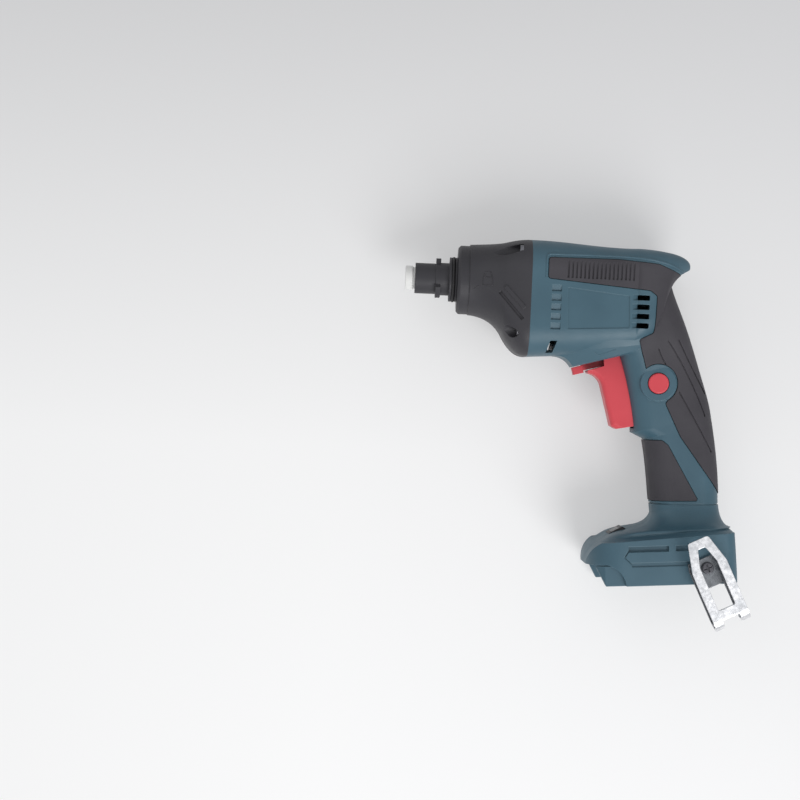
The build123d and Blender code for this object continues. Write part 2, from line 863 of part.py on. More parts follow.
def foot_plan(front, back, half, nose, corner):
    # Outline of the foot from above: blunt front, arcs to the sides, small corners behind.
    lean = nose * (1 - sqrt(0.5))
    turn = corner * (1 - sqrt(0.5))
    with BuildSketch() as plan:
        with BuildLine():
            Line((front + nose, half), (back - corner, half))
            ThreePointArc((back - corner, half), (back - turn, half - turn), (back, half - corner))
            Line((back, half - corner), (back, corner - half))
            ThreePointArc((back, corner - half), (back - turn, turn - half), (back - corner, -half))
            Line((back - corner, -half), (front + nose, -half))
            ThreePointArc((front + nose, -half), (front + lean, lean - half), (front, nose - half))
            Line((front, nose - half), (front, half - nose))
            ThreePointArc((front, half - nose), (front + lean, half - lean), (front + nose, half))
        make_face()
    return plan.sketch


# Foot block of the left half, before it is hollowed
crease_tip = foot_crease + crease_front * sin(radians(crease_lean))
crease_heel = foot_crease + foot_back * sin(radians(crease_lean))
skirt_plane, skirt_front, skirt_back, skirt_half, skirt_corner = flare_sections[-1]
with BuildPart() as foot_block:
    with BuildSketch(skirt_plane):
        add(foot_plan(skirt_front, skirt_back, skirt_half, skirt_corner, skirt_corner))
    with BuildSketch(across(crease_frame, 0)):
        add(foot_plan(crease_front, foot_back - 1.4, foot_half, crease_nose_r, foot_corner))
    loft(ruled=True)
    with BuildPart(mode=Mode.PRIVATE) as lower_block:
        with BuildSketch(foot_frame):
            with BuildLine():
                Line((foot_back - 1.6, crease_heel), (crease_front, crease_tip))
                ThreePointArc(
                    (crease_front, crease_tip),
                    (foot_front + 3.7, crease_tip - 5.0),
                    (foot_front, bay_roof + 0.6),
                )
                Polyline(
                    (foot_front, bay_roof + 0.6),
                    (foot_front, foot_bottom),
                    (foot_back, foot_bottom),
                    (foot_back - 1.6, crease_heel),
                )
            make_face()
        extrude(amount=foot_half)
        with BuildSketch(across(foot_frame, 0)):
            add(foot_plan(foot_front, foot_back, foot_half, foot_nose_r, foot_corner))
        extrude(amount=200, both=True, mode=Mode.INTERSECT)
    split(bisect_by=Plane.XY, keep=Keep.TOP)
    add(lower_block.part)

# Chin under the barrel, above the trigger: place along it, half width below and above
chin_front = -42.0
chin_back = 24.0
cheek_top = -35.0
chin_shape = [
    (chin_front, 9.0, 22.0),
    (-30.0, 13.5, 27.0),
    (-20.0, 19.0, 29.6),
    (-6.0, 23.4, 30.4),
    (10.0, 24.6, 29.2),
    (chin_back, 24.2, 25.0),
]


def chin_form(inset):
    # Left half of the chin, spreading up into the barrel.
    with BuildPart() as form:
        for along, half, spread in chin_shape:
            level = cheek_top - trigger_y - along * sin(radians(handle_lean))
            rise = level / cos(radians(handle_lean)) - chin_low
            bend = inset + 0.45 * (rise - inset)
            plane = Plane(
                origin=handle_frame.from_local_coords((along, chin_low, 0)),
                x_dir=handle_frame.y_dir,
                z_dir=handle_frame.x_dir,
            )
            with BuildSketch(plane):
                with BuildLine():
                    Polyline(
                        (inset, 0),
                        (inset, half - inset - 3.0),
                        (inset + 0.8, half - inset - 1.0),
                        (bend, half + 0.5 * (spread - half) - inset),
                        (rise, spread - inset),
                        (rise, 0),
                        close=True,
                    )
                make_face()
        loft()
        with BuildSketch(handle_frame):
            with BuildLine():
                ThreePointArc(
                    (chin_front + inset, chin_low + 10.2 + inset / 2),
                    (chin_front + 7.0 + inset, chin_low + 6.0 + inset / 2),
                    (chin_front + 10.0 + inset, chin_low),
                )
                Polyline(
                    (chin_front + 10.0 + inset, chin_low),
                    (chin_back, chin_low),
                    (chin_back, chin_low + 30.0),
                    (chin_front + inset, chin_low + 30.0),
                    (chin_front + inset, chin_low + 10.2 + inset / 2),
                )
            make_face()
        extrude(amount=2 * barrel_half, mode=Mode.INTERSECT)
    return form.part


# Hollow of the left half
with BuildPart() as hollow:
    for run in (barrel_sections[:4], barrel_sections[3:tail_end - 2], *handle_runs, throat_sections):
        add(lofted(run, -wall), clean=False)
    split(bisect_by=Plane.XY, keep=Keep.TOP)
    add(chin_form(wall))
    with BuildPart(mode=Mode.PRIVATE) as foot_hollow:
        with BuildSketch(across(foot_frame, bay_roof + wall)):
            add(foot_plan(foot_front + 14.0, foot_back - 7.0, foot_half - wall - 1.0, foot_nose_r - wall, foot_corner))
        extrude(amount=crease_tip - 2.0 - bay_roof - wall)
        with BuildSketch(across(foot_frame, bay_roof + wall)):
            with Locations(((light_back + foot_back - 7.0) / 2 + 2.0, 0)):
                RectangleRounded(foot_back - 11.0 - light_back, 2 * (foot_half - wall - 1.0), foot_corner)
        extrude(amount=foot_crease - 1.6 - bay_roof - wall)
        split(bisect_by=Plane.XY, keep=Keep.TOP)
    add(foot_hollow.part)

# Screws that hold the two halves together: x, y and how far the boss reaches into the wall
clamshell_screws = [
    (104.0, 19.6, barrel_half - 8.0),
    (150.0, 18.6, barrel_half - 12.0),
    (101.0, -44.0, barrel_half - 16.0),
]
for u, v, spare in ((6.0, 32.0, -4.4), (25.0, -44.0, 1.8), (31.0, -65.0, 1.8)):
    place = handle_frame.from_local_coords((u, v, 0))
    clamshell_screws.append((place.X, place.Y, grip_half - spare))
for p, q in ((-47.0, -27.0), (23.0, -27.0)):
    place = foot_frame.from_local_coords((p, q, 0))
    clamshell_screws.append((place.X, place.Y, foot_half - 4.0))
clamshell_places = [(x, y) for x, y, reach in clamshell_screws]


def barrel_section(x, inset):
    # Rounded rectangle of the barrel at x, as low, high, half width and corner.
    sections = [(0.0, 0.0, 0.0, 0.0, barrel_corner)] + barrel_shape
    for near, far in zip(sections, sections[1:]):
        if seam_x + far[0] >= x:
            break
    share = (x - seam_x - near[0]) / (far[0] - near[0])
    drop, rise, narrow, corner = [n + share * (f - n) for n, f in zip(near[1:], far[1:])]
    low = barrel_bottom + rise + inset
    high = barrel_top - drop - inset
    return low, high, barrel_half - narrow - inset, corner - inset


# Ribs for the motor, bosses for the screws and pads for the switch
with BuildPart() as inner_ribs:
    for x in (stator_front + 2.0, stator_back - 2.0 - rib_thick):
        low, high, half, corner = barrel_section(x + rib_thick / 2, wall / 2)
        with BuildSketch(Plane.YZ.offset(x)):
            with Locations(((low + high) / 2, 0)):
                RectangleRounded(high - low, 2 * half, corner)
            with Locations((motor_y, 0)):
                Circle(stator_r + rib_gap, mode=Mode.SUBTRACT)
        extrude(amount=rib_thick)
    with BuildSketch(Plane.YZ.offset(rear_bearing_x)):
        with Locations((motor_y, 0)):
            Rectangle(2 * ball_bearing_r + 8, 2 * barrel_half - wall)
            Circle(ball_bearing_r + seat_gap, mode=Mode.SUBTRACT)
    extrude(amount=ball_bearing_length)
    with BuildSketch(Plane.YZ.offset(seam_x)):
        with Locations((screw_top_y, screw_top_z), (screw_low_y, screw_low_z)):
            Circle(axial_boss_r)
    extrude(amount=axial_screw_length + 1)
    for x, y, reach in clamshell_screws:
        with BuildSketch():
            with Locations((x, y)):
                Circle(boss_r)
        extrude(amount=reach)
    switch_middle = switch_front + switch_length / 2
    for v, reach in ((switch_low + 3, grip_half - wall / 2), (switch_high - 3, grip_half + wall / 2)):
        with BuildSketch(handle_frame.offset(switch_half)):
            with Locations((switch_middle, v)):
                Rectangle(switch_length - 6, 2.4)
        extrude(amount=reach - switch_half)
    split(bisect_by=Plane.XY, keep=Keep.TOP)

# Shallow marks on the barrel side: label recess and blind louvres
with BuildPart() as side_marks:
    with BuildSketch(Plane.XY.offset(barrel_half - mark_depth)):
        with BuildLine():
            FilletPolyline((103.0, -3.8), (144.6, -7.9), (145.4, -29.4), (103.8, -32.0), radius=0.8, close=True)
        make_face()
    extrude(amount=barrel_half)
    for louvre in range(louvre_count):
        louvre_y = -6.8 - louvre_pitch * louvre
        with BuildSketch(Plane.YZ.offset(louvre_x)):
            with BuildLine():
                Polyline(
                    (louvre_y, barrel_half - louvre_depth),
                    (louvre_y + louvre_height, barrel_half - 0.2),
                    (louvre_y + louvre_height, 2 * barrel_half),
                    (louvre_y, 2 * barrel_half),
                    close=True,
                )
            make_face()
        extrude(amount=louvre_width)

# Features cut through the wall: vents, side slot, trigger opening
with BuildPart() as wall_cuts:
    with BuildSketch(Plane.XY.offset(barrel_half / 2)):
        for vent in range(vent_count):
            with Locations((vent_x, vent_y - vent_pitch * vent)):
                RectangleRounded(vent_length, vent_height, 0.8, align=(Align.MIN, Align.CENTER))
        with BuildLine():
            Polyline((92.8, -40.1), (97.4, -39.9), (95.0, -47.9), (90.4, -48.2), close=True)
        make_face()
    extrude(amount=2 * barrel_half)
    for vent in range(vent_count):
        with BuildSketch(Plane.XZ.offset(-vent_y - vent_height / 2 + vent_pitch * vent)):
            with BuildLine():
                Polyline(
                    (vent_x - vent_ramp, barrel_half - 0.3),
                    (vent_x + 1.0, barrel_half - vent_floor),
                    (vent_x + 1.0, 2 * barrel_half),
                    (vent_x - vent_ramp, 2 * barrel_half),
                    close=True,
                )
            make_face()
        extrude(amount=vent_height)
    with BuildSketch(handle_frame):
        with Locations((switch_front - 1, trigger_low - 2.5)):
            Rectangle(switch_front + 39, chin_low - trigger_low + 2.5, align=(Align.MAX, Align.MIN))
            Rectangle(switch_front + 26, chin_low + chin_opening - trigger_low + 2.5, align=(Align.MAX, Align.MIN))
    extrude(amount=trigger_half + moving_gap)

# Battery bay and rails of the foot
with BuildPart() as foot_cuts:
    with BuildSketch(foot_frame):
        with Locations(((foot_front + bay_back) / 2 - 5, (bay_roof + foot_bottom) / 2 - 5)):
            Rectangle(bay_back - foot_front + 10, bay_roof - foot_bottom + 10)
    extrude(amount=bay_half)
    with BuildSketch(foot_frame):
        with Locations(((foot_front + bay_back) / 2 + 6, foot_bottom + rail_height / 2)):
            Rectangle(bay_back - foot_front - 16, rail_height)
    extrude(amount=bay_half, mode=Mode.SUBTRACT)
    with BuildSketch(foot_frame):
        with Locations(((foot_front + bay_back) / 2 - 5, (bay_roof + foot_bottom) / 2 - 5)):
            Rectangle(bay_back - foot_front + 10, bay_roof - foot_bottom + 10)
    extrude(amount=bay_half - rail_depth)
    with BuildSketch(foot_frame):
        with BuildLine():
            Line((foot_front - 2, bay_roof + 0.2), (foot_front + 13.5, bay_roof + 0.2))
            ThreePointArc(
                (foot_front + 13.5, bay_roof + 0.2),
                (foot_front + 19.8, bay_roof - 3.4),
                (foot_front + 25.0, foot_bottom),
            )
            Polyline(
                (foot_front + 25.0, foot_bottom),
                (foot_front + 25.0, foot_bottom - 2),
                (foot_front - 2, foot_bottom - 2),
                (foot_front - 2, bay_roof + 0.2),
            )
        make_face()
    extrude(amount=foot_half + 2, dir=(0, 0, 1))
    with BuildSketch(foot_frame):
        with BuildLine():
            Polyline(
                (foot_front + 5.4, bay_roof - 0.5),
                (foot_front + 12.8, foot_bottom - 2),
                (foot_front + 27.0, foot_bottom - 2),
                (foot_front + 27.0, bay_roof - 0.5),
                close=True,
            )
        make_face()
    extrude(amount=bay_half + 3.4, mode=Mode.SUBTRACT)
    with BuildSketch(foot_frame):
        with Locations(((foot_front + bay_back) / 2 - 5, (bay_roof + foot_bottom) / 2 - 5)):
            Rectangle(bay_back - foot_front + 10, bay_roof - foot_bottom + 10)
    extrude(amount=bay_half - rail_depth)

# Slots and a shallow band on the side of the foot
with BuildPart() as foot_slots:
    with BuildSketch(foot_frame.offset(foot_half - foot_slot_depth)):
        with Locations((foot_front + 40.5, slot_q)):
            Rectangle(27.0, slot_height)
        with Locations((foot_front + 65.2, slot_q)):
            Rectangle(13.0, slot_height)
    extrude(amount=5)
with BuildPart() as foot_band:
    with BuildSketch(foot_frame.offset(foot_half - 1.0)):
        with Locations((foot_front + 49.0, band_low)):
            Rectangle(40.0, 2.8)
        with BuildLine() as band_end:
            Polyline(
                (foot_front + 28.0, slot_q + 0.6),
                (foot_front + 24.4, (slot_q + band_low) / 2),
                (foot_front + 29.5, band_low),
            )
        trace(band_end.line, line_width=groove_width)
    extrude(amount=5)

# Groove round the neck, at the foot of the grip
neck_frame = Plane(
    origin=foot_frame.from_local_coords((0, neck_groove_q, 0)),
    x_dir=(cos(radians(foot_lean - neck_groove_lean)), sin(radians(foot_lean - neck_groove_lean)), 0),
    z_dir=(0, 0, 1),
)
with BuildPart() as neck_groove:
    with BuildSketch(across(neck_frame, -neck_groove_width / 2)):
        with Locations(((neck_front + neck_back) / 2, 0)):
            RectangleRounded(neck_back - neck_front + 4, 2 * neck_half + 4, grip_corner + 2)
            RectangleRounded(
                neck_back - neck_front - 2 * mark_depth,
                2 * (neck_half - mark_depth),
                grip_corner - mark_depth,
                mode=Mode.SUBTRACT,
            )
    extrude(amount=neck_groove_width)

# Recesses that hold the rubber
with BuildPart() as rubber_recess:
    add(grip_zone(rear_grip_outline, rear_grip_corner, 0))
    add(grip_zone(front_grip_outline, front_grip_corner, 0))
    add(rubber_floor, mode=Mode.SUBTRACT)

# Left half of the clamshell, with what both halves share
with BuildPart() as half_shell:
    add(outer_form)
    add(lofted(flare_sections))
    split(bisect_by=Plane.XY, keep=Keep.TOP)
    add(chin_form(0))
    add(foot_block.part)
    add(hollow.part, mode=Mode.SUBTRACT)
    add(inner_ribs.part)
    add(side_marks.part, mode=Mode.SUBTRACT)
    add(wall_cuts.part, mode=Mode.SUBTRACT)
    add(foot_cuts.part, mode=Mode.SUBTRACT)
    add(foot_slots.part, mode=Mode.SUBTRACT)
    add(foot_band.part, mode=Mode.SUBTRACT)
    add(neck_groove.part, mode=Mode.SUBTRACT)
    add(rubber_recess.part, mode=Mode.SUBTRACT)
    with BuildSketch(Plane.YZ.offset(seam_x)):
        with Locations((screw_top_y, screw_top_z), (screw_low_y, screw_low_z)):
            Circle(screw_r + seat_gap)
    extrude(amount=axial_screw_length - 1, mode=Mode.SUBTRACT)
    with BuildSketch(hook_frame):
        Circle(insert_r + seat_gap)
    extrude(amount=-insert_length, mode=Mode.SUBTRACT)
    with BuildSketch(across(foot_frame, light_floor)):
        with Locations(((light_front + light_back) / 2, 0)):
            Rectangle(light_back - light_front + 2 * seat_gap, 2 * (light_half + seat_gap))
    extrude(amount=light_top - light_floor + 2, mode=Mode.SUBTRACT)

# Raised rim round the lock button
with BuildPart() as button_rim:
    with BuildSketch(handle_frame.offset(button_floor)):
        with Locations((button_u, button_v)):
            Circle(button_rim_r)
    extrude(amount=button_top - button_rise - button_floor)
    fillet(button_rim.edges().sort_by(Axis.Z)[-1], 0.8)

# Left half, with the rim and pilot holes for the screws
with BuildPart() as left_shell:
    add(half_shell.part)
    add(button_rim.part)
    with BuildSketch(handle_frame.offset(button_floor)):
        with Locations((button_u, button_v)):
            Circle(button_r + moving_gap)
    extrude(amount=button_top - button_floor, mode=Mode.SUBTRACT)
    with BuildSketch():
        with Locations(*clamshell_places):
            Circle(screw_r + seat_gap)
    extrude(amount=screw_length - screw_seat + 1, mode=Mode.SUBTRACT)
left_shell.part.label = "left_shell"
export_step(left_shell.part, "parts/left_shell.step")

# Right half, with clearance holes and counterbores for the screw heads
with BuildPart() as right_shell:
    mirror(half_shell.part, about=Plane.XY)
    with BuildSketch():
        with Locations(*clamshell_places):
            Circle(screw_r + moving_gap)
    extrude(amount=-screw_seat, mode=Mode.SUBTRACT)
    with BuildSketch(Plane.XY.offset(-screw_seat)):
        with Locations(*clamshell_places):
            Circle(screw_head_r + moving_gap)
    extrude(amount=-foot_half, mode=Mode.SUBTRACT)
right_shell.part.label = "right_shell"
export_step(right_shell.part, "parts/right_shell.step")


def cap_screws(plane, places, length):
    # Round headed screws, heads behind the plane, with hex sockets.
    with BuildPart() as screws:
        with BuildSketch(plane):
            with Locations(*places):
                Circle(screw_r)
        extrude(amount=length)
        with BuildSketch(plane):
            with Locations(*places):
                Circle(screw_head_r)
        extrude(amount=-screw_head)
        with BuildSketch(plane.offset(-screw_head)):
            with Locations(*places):
                RegularPolygon(1.5, 6)
        extrude(amount=0.6 * screw_head, mode=Mode.SUBTRACT)
    return screws.part


housing_screws = cap_screws(Plane.XY.offset(-screw_seat), clamshell_places, screw_length)
housing_screws.label = "housing_screws"
export_step(housing_screws, "parts/housing_screws.step")
gear_housing_screws = cap_screws(Plane.YZ.offset(pocket_x), axial_screws, axial_screw_length + 3)
gear_housing_screws.label = "gear_housing_screws"
export_step(gear_housing_screws, "parts/gear_housing_screws.step")

# Brass inserts for the belt hook, one in each side of the foot
with BuildPart() as hook_inserts:
    with BuildSketch(hook_frame):
        Circle(insert_r)
        Circle(hook_screw_r, mode=Mode.SUBTRACT)
    extrude(amount=-insert_length)
    mirror(about=Plane.XY)
hook_inserts.part.label = "hook_inserts"
export_step(hook_inserts.part, "parts/hook_inserts.step")

# Belt hook folded from sheet, open between its two legs
hook_bend_r = hook_gap / 2 + hook_sheet
hook_bend_b = hook_low + hook_bend_r
hook_side = Plane(origin=hook_frame.origin, x_dir=hook_frame.y_dir, z_dir=hook_frame.x_dir)
with BuildPart() as belt_hook:
    with BuildSketch(hook_side):
        with Locations((hook_bend_b, hook_bend_r)):
            Circle(hook_bend_r)
            Circle(hook_gap / 2, mode=Mode.SUBTRACT)
        with Locations((hook_bend_b + hook_bend_r, hook_bend_r)):
            Rectangle(2 * hook_bend_r, 2 * hook_bend_r, mode=Mode.SUBTRACT)
        with Locations((hook_bend_b, 0)):
            Rectangle(hook_base_top - hook_bend_b, hook_sheet, align=Align.MIN)
        with Locations((hook_bend_b, hook_sheet + hook_gap)):
            Rectangle(hook_top - hook_bend_b, hook_sheet, align=Align.MIN)
    extrude(amount=hook_half, both=True)
    with BuildSketch(hook_frame):
        with BuildLine():
            FilletPolyline(
                (-hook_half, hook_low - 1),
                (-hook_half, 2.0),
                (-hook_tip_half, hook_top),
                (hook_tip_half, hook_top),
                (hook_half, 2.0),
                (hook_half, hook_low - 1),
                radius=2.0,
                close=True,
            )
        make_face()
    extrude(amount=2 * hook_bend_r, mode=Mode.INTERSECT)
    with BuildSketch(hook_frame.offset(hook_bend_r)):
        with BuildLine():
            FilletPolyline(
                (-hook_leg, hook_bar_high),
                (-hook_leg, 4.0),
                (-2.6, 15.3),
                (2.6, 15.3),
                (hook_leg, 4.0),
                (hook_leg, hook_bar_high),
                radius=1.2,
                close=True,
            )
        make_face()
    extrude(amount=hook_bend_r, mode=Mode.SUBTRACT)
    with BuildSketch(hook_frame):
        with Locations((0, (hook_bar_low + hook_low) / 2 - 1)):
            Rectangle(2 * hook_leg, hook_bar_low - hook_low + 2)
    extrude(amount=2 * hook_bend_r, mode=Mode.SUBTRACT)
    with BuildSketch(hook_frame):
        with Locations((0, (hook_window_top + hook_low) / 2)):
            Rectangle(2 * hook_leg, hook_window_top - hook_low)
        Circle(hook_screw_r + 0.3)
    extrude(amount=hook_bend_r, mode=Mode.SUBTRACT)
belt_hook.part.label = "belt_hook"
export_step(belt_hook.part, "parts/belt_hook.step")

# Screw that holds the hook
with BuildPart() as hook_screw:
    with BuildSketch(hook_frame.offset(hook_sheet)):
        Circle(2 * hook_screw_r)
    extrude(amount=hook_screw_head)
    fillet(hook_screw.edges().sort_by(Axis.Z)[-1], 0.8)
    with BuildSketch(hook_frame.offset(hook_sheet)):
        Circle(hook_screw_r - seat_gap)
    extrude(amount=-hook_sheet - insert_length + 0.4)
    with BuildSketch(hook_frame.offset(hook_sheet + hook_screw_head)):
        Rectangle(2.8 * hook_screw_r, 0.9)
        Rectangle(0.9, 2.8 * hook_screw_r)
    extrude(amount=-1.3, mode=Mode.SUBTRACT)
hook_screw.part.label = "hook_screw"
export_step(hook_screw.part, "parts/hook_screw.step")

# Trigger, with a slot on top for the reverse lever
with BuildPart() as trigger:
    with BuildSketch(handle_frame):
        with BuildLine():
            Polyline(
                (trigger_inner, trigger_low - 1.8),
                (3.0 - trigger_depth, trigger_low - 0.4),
                (-trigger_depth, trigger_low + 2.4),
                (-trigger_depth, 8.0),
            )
            ThreePointArc((-trigger_depth, 8.0), (-trigger_depth - 1.7, 13.9), (-trigger_depth - 7.1, 18.3))
            Polyline(
                (-trigger_depth - 7.1, 18.3),
                (-trigger_depth - 7.1, lever_low - 0.6),
                (-10.6, lever_low - 0.1),
                (-9.8, trigger_high),
                (trigger_inner, trigger_high),
                (trigger_inner, trigger_low - 1.8),
            )
        make_face()
    extrude(amount=trigger_half, both=True)
    rounded_edges = []
    for edge in trigger.edges():
        middle = handle_frame.to_local_coords(edge.center())
        if middle.X < 3.0 - trigger_depth and middle.Y < 17.0 and abs(abs(middle.Z) - trigger_half) < 0.01:
            rounded_edges.append(edge)
    fillet(rounded_edges, trigger_bevel)
    with BuildSketch(across(handle_frame, lever_low - lever_channel)):
        Rectangle(4 * trigger_depth, 2 * (trigger_half - trigger_rim))
    extrude(amount=10, mode=Mode.SUBTRACT)
trigger.part.label = "trigger"
export_step(trigger.part, "parts/trigger.step")

# Plunger from the trigger into the switch, and its return spring
switch_side = Plane(
    origin=handle_frame.from_local_coords((0, plunger_v, 0)),
    x_dir=handle_frame.y_dir,
    z_dir=handle_frame.x_dir,
)
with BuildPart() as trigger_plunger:
    with BuildSketch(switch_side.offset(trigger_inner)):
        Circle(plunger_r)
    extrude(amount=switch_front - trigger_inner + 6)
trigger_plunger.part.label = "trigger_plunger"
export_step(trigger_plunger.part, "parts/trigger_plunger.step")
trigger_spring = coil(switch_side.offset(trigger_inner), plunger_r + 1.2, 0.8, switch_front - trigger_inner, 5)
trigger_spring.label = "trigger_spring"
export_step(trigger_spring, "parts/trigger_spring.step")

# Switch, with the bore of the plunger and the seat of the lever pin
with BuildPart() as switch_body:
    with BuildSketch(handle_frame):
        with Locations((switch_front, switch_low)):
            Rectangle(switch_length, switch_high - switch_low, align=Align.MIN)
    extrude(amount=switch_half, both=True)
    with BuildSketch(switch_side.offset(switch_front)):
        Circle(plunger_r + running_gap)
    extrude(amount=switch_length - 4, mode=Mode.SUBTRACT)
    with BuildSketch(across(handle_frame, switch_high)):
        with Locations((lever_pivot, 0)):
            Circle(lever_pin_r + seat_gap)
    extrude(amount=-lever_pin_seat, mode=Mode.SUBTRACT)
switch_body.part.label = "switch_body"
export_step(switch_body.part, "parts/switch_body.step")

# Reverse lever on its pin, above the trigger
with BuildPart() as reverse_lever:
    with BuildSketch(across(handle_frame, lever_low)):
        with Locations((lever_front + lever_tab - 0.6, 0)):
            Rectangle(lever_pivot - lever_front - lever_tab + 0.6, 2 * lever_half, align=(Align.MIN, Align.CENTER))
        with Locations((lever_pivot, 0)):
            Circle(2.2 * lever_pin_r)
    extrude(amount=lever_high - lever_low)
    with BuildSketch(across(handle_frame, lever_low - 1.5)):
        with Locations((lever_front, 0)):
            Rectangle(lever_tab, 4 * lever_half, align=(Align.MIN, Align.CENTER))
    extrude(amount=chin_low - lever_low + 1.1)
    upright_edges = reverse_lever.edges().filter_by(Axis((0, 0, 0), handle_frame.y_dir))
    fillet(upright_edges.group_by(Axis((0, 0, 0), handle_frame.x_dir))[0], 1.4)
    with BuildSketch(across(handle_frame, lever_low)):
        with Locations((lever_pivot, 0)):
            Circle(lever_pin_r + running_gap)
    extrude(amount=lever_high - lever_low, mode=Mode.SUBTRACT)
reverse_lever.part.label = "reverse_lever"
export_step(reverse_lever.part, "parts/reverse_lever.step")
with BuildPart() as lever_pin:
    with BuildSketch(across(handle_frame, switch_high - lever_pin_seat)):
        with Locations((lever_pivot, 0)):
            Circle(lever_pin_r)
    extrude(amount=lever_pin_seat + lever_high - switch_high + 0.4)
lever_pin.part.label = "lever_pin"
export_step(lever_pin.part, "parts/lever_pin.step")

# Lock button in its rim, and the spring that lifts it off the switch
with BuildPart() as lock_button:
    with BuildSketch(handle_frame.offset(button_floor - 0.1)):
        with Locations((button_u, button_v)):
            Circle(button_r)
    extrude(amount=button_top - button_floor + 0.1)
    fillet(lock_button.edges().sort_by(Axis.Z)[-1], 1.0)
    with BuildSketch(handle_frame.offset(button_floor - 0.1)):
        with Locations((button_u, button_v)):
            Circle(button_r + button_flange)
    extrude(amount=-button_flange)
    with BuildSketch(handle_frame.offset(button_floor - 0.1)):
        with Locations((button_u, button_v)):
            Circle(plunger_r)
    extrude(amount=-button_flange - 2.4)
lock_button.part.label = "lock_button"
export_step(lock_button.part, "parts/lock_button.step")
button_seat = Plane(
    origin=handle_frame.from_local_coords((button_u, button_v, switch_half)),
    z_dir=(0, 0, 1),
)
button_spring_length = button_floor - 0.1 - button_flange - switch_half
lock_button_spring = coil(button_seat, plunger_r + 2.0, 0.7, button_spring_length, 4)
lock_button_spring.label = "lock_button_spring"
export_step(lock_button_spring, "parts/lock_button_spring.step")

# Controller board on the floor of the foot, with its finned heat sink
board_floor = bay_roof + wall
with BuildPart() as controller_board:
    with BuildSketch(across(foot_frame, board_floor)):
        with Locations((board_p, 0)):
            Rectangle(board_length, board_width)
    extrude(amount=board_thick)
controller_board.part.label = "controller_board"
export_step(controller_board.part, "parts/controller_board.step")
with BuildPart() as heat_sink:
    with BuildSketch(across(foot_frame, board_floor + board_thick)):
        with Locations((board_p, 0)):
            Rectangle(board_length - 8, board_width - 8)
    extrude(amount=board_thick)
    with BuildSketch(across(foot_frame, board_floor + 2 * board_thick)):
        with Locations((board_p, 0)):
            with GridLocations(0, 4.4, 1, 11):
                Rectangle(board_length - 8, 1.6)
    extrude(amount=4.0)
heat_sink.part.label = "heat_sink"
export_step(heat_sink.part, "parts/heat_sink.step")

# Terminal block under the roof of the battery bay, with three contact blades
blade_spread = 9.0
with BuildPart() as terminal_block:
    with BuildSketch(across(foot_frame, bay_roof)):
        with Locations((terminal_p, 0)):
            Rectangle(terminal_length, terminal_width)
    extrude(amount=-terminal_height)
    with BuildSketch(across(foot_frame, bay_roof - 2)):
        with Locations((terminal_p - terminal_length / 2 + 4, 0)):
            with GridLocations(0, blade_spread, 1, 3):
                Rectangle(8, blade_thick + 2 * seat_gap)
    extrude(amount=2 - terminal_height + 2, mode=Mode.SUBTRACT)
terminal_block.part.label = "terminal_block"
export_step(terminal_block.part, "parts/terminal_block.step")
with BuildPart() as battery_contacts:
    with BuildSketch(across(foot_frame, bay_roof - 2 - seat_gap)):
        with Locations((terminal_p - terminal_length / 2 - 4, 0)):
            with GridLocations(0, blade_spread, 1, 3):
                Rectangle(24 - 2 * seat_gap, blade_thick)
    extrude(amount=4 - terminal_height + 2 * seat_gap)
battery_contacts.part.label = "battery_contacts"
export_step(battery_contacts.part, "parts/battery_contacts.step")

# Work light on top of the foot: holder, diode board and lens
light_tilt = atan2(light_top - light_brow, light_back - light_ridge - light_front)
lens_slope = Plane(
    origin=foot_frame.from_local_coords((light_front, light_brow, 0)),
    x_dir=(0, 0, 1),
    z_dir=-foot_frame.x_dir * sin(light_tilt) + foot_frame.y_dir * cos(light_tilt),
)
with BuildPart() as work_light_holder:
    with BuildSketch(foot_frame):
        with BuildLine():
            Polyline(
                (light_front, light_floor),
                (light_front, light_brow),
                (light_back - light_ridge, light_top),
                (light_back, light_rear),
                (light_back, light_floor),
                close=True,
            )
        make_face()
    extrude(amount=light_half, both=True)
    with BuildSketch(lens_slope):
        with Locations((0, lens_middle)):
            Rectangle(lens_width + 2 * seat_gap, lens_height + 2 * seat_gap)
    extrude(amount=-lens_thick - diode_thick, mode=Mode.SUBTRACT)
work_light_holder.part.label = "work_light_holder"
export_step(work_light_holder.part, "parts/work_light_holder.step")
with BuildPart() as work_light_board:
    with BuildSketch(lens_slope.offset(-lens_thick - diode_thick)):
        with Locations((0, lens_middle)):
            Rectangle(lens_width, lens_height)
    extrude(amount=diode_thick - 0.3)
work_light_board.part.label = "work_light_board"
export_step(work_light_board.part, "parts/work_light_board.step")
with BuildPart() as work_light_lens:
    with BuildSketch(lens_slope.offset(-lens_thick)):
        with Locations((0, lens_middle)):
            Rectangle(lens_width, lens_height)
    extrude(amount=lens_thick)
work_light_lens.part.label = "work_light_lens"
export_step(work_light_lens.part, "parts/work_light_lens.step")
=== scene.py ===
import json
import math
import bpy
import bmesh
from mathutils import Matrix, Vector
from mathutils.bvhtree import BVHTree


